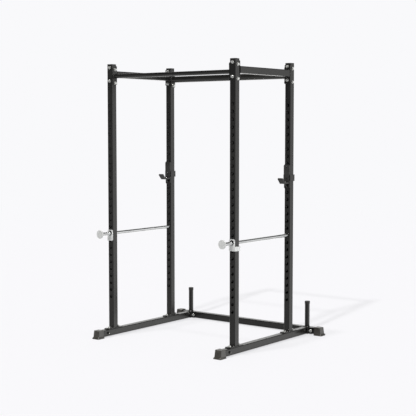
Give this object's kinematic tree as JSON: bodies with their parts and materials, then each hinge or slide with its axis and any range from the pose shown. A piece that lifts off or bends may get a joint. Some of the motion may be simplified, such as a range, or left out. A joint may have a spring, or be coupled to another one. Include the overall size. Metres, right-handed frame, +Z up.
{
  "type": "power cage",
  "caption": "Power cage with drilled uprights, sliding safety rods, removable J-cups, pull-up bars, plate pegs and rubber feet.",
  "frame": {"origin": "on the floor, under the middle of the cage's overall width and depth", "axes": "+Z up, -Y towards the open front, +X towards the cage's right as seen from the front"},
  "size_m": [1.478, 1.2342, 2.118],
  "materials": {
    "frame_paint": "satin black powder coat",
    "zinc": "bright zinc plate",
    "rod_chrome": "satin chrome",
    "black_screws": "black oxide",
    "black_plastic": "moulded black plastic",
    "boot_rubber": "moulded rubber"
  },
  "bodies": {
    "frame": {"upright_front_left": "frame_paint", "upright_cap_front_left": "black_plastic", "boot_front_left": "boot_rubber", "upright_foot_plate_front_left": "frame_paint", "upright_rear_left": "frame_paint", "upright_cap_rear_left": "black_plastic", "boot_rear_left": "boot_rubber", "upright_foot_plate_rear_left": "frame_paint", "base_tube_left": "frame_paint", "side_beam_left": "frame_paint", "base_end_plate_left": "frame_paint", "side_beam_plates_left": "frame_paint", "weight_peg_left": "frame_paint", "weight_peg_cap_left": "black_plastic", "upright_front_right": "frame_paint", "upright_cap_front_right": "black_plastic", "boot_front_right": "boot_rubber", "upright_foot_plate_front_right": "frame_paint", "upright_rear_right": "frame_paint", "upright_cap_rear_right": "black_plastic", "boot_rear_right": "boot_rubber", "upright_foot_plate_rear_right": "frame_paint", "base_tube_right": "frame_paint", "side_beam_right": "frame_paint", "base_end_plate_right": "frame_paint", "side_beam_plates_right": "frame_paint", "weight_peg_right": "frame_paint", "weight_peg_cap_right": "black_plastic", "rear_cross_member": "frame_paint", "pullup_bar_front": "frame_paint", "pullup_bar_rear": "frame_paint", "pullup_bar_plates_front": "frame_paint", "pullup_bar_plates_rear": "frame_paint", "frame_bolts": "zinc", "frame_washers": "zinc", "frame_nuts": "zinc", "foot_bolts": "zinc", "foot_weld_nuts": "zinc", "base_tube_bolts": "black_screws", "base_tube_washers": "black_screws", "base_tube_nuts": "black_screws"},
    "safety_rod_left": {"safety_rod_left": "rod_chrome", "safety_disc_left": "zinc"},
    "lock_clip_left": {"safety_lock_clip_left": "zinc"},
    "jcup_left": {"jcup_hook_left": "frame_paint", "jcup_pin_left": "zinc", "jcup_liner_left": "black_plastic", "jcup_liner_screws_left": "black_screws"},
    "safety_rod_right": {"safety_rod_right": "rod_chrome", "safety_disc_right": "zinc"},
    "lock_clip_right": {"safety_lock_clip_right": "zinc"},
    "jcup_right": {"jcup_hook_right": "frame_paint", "jcup_pin_right": "zinc", "jcup_liner_right": "black_plastic", "jcup_liner_screws_right": "black_screws"}
  },
  "joints": [
    {"name": "safety_rod_left_slide", "type": "slide", "parent": "frame", "child": "safety_rod_left", "axis": [0, -1, 0], "range_m": [0, 0.78]},
    {"name": "lock_clip_left_swing", "type": "hinge", "parent": "frame", "child": "lock_clip_left", "pos_m": [-0.5875, -0.4365, 0.8085], "axis": [0, 1, 0], "range_deg": [0, 80]},
    {"name": "jcup_left_slide", "type": "slide", "parent": "frame", "child": "jcup_left", "axis": [0, -1, 0], "range_m": [0, 0.12]},
    {"name": "safety_rod_right_slide", "type": "slide", "parent": "frame", "child": "safety_rod_right", "axis": [0, -1, 0], "range_m": [0, 0.78]},
    {"name": "lock_clip_right_swing", "type": "hinge", "parent": "frame", "child": "lock_clip_right", "pos_m": [0.5875, -0.4365, 0.8085], "axis": [0, -1, 0], "range_deg": [0, 80]},
    {"name": "jcup_right_slide", "type": "slide", "parent": "frame", "child": "jcup_right", "axis": [0, -1, 0], "range_m": [0, 0.12]}
  ]
}
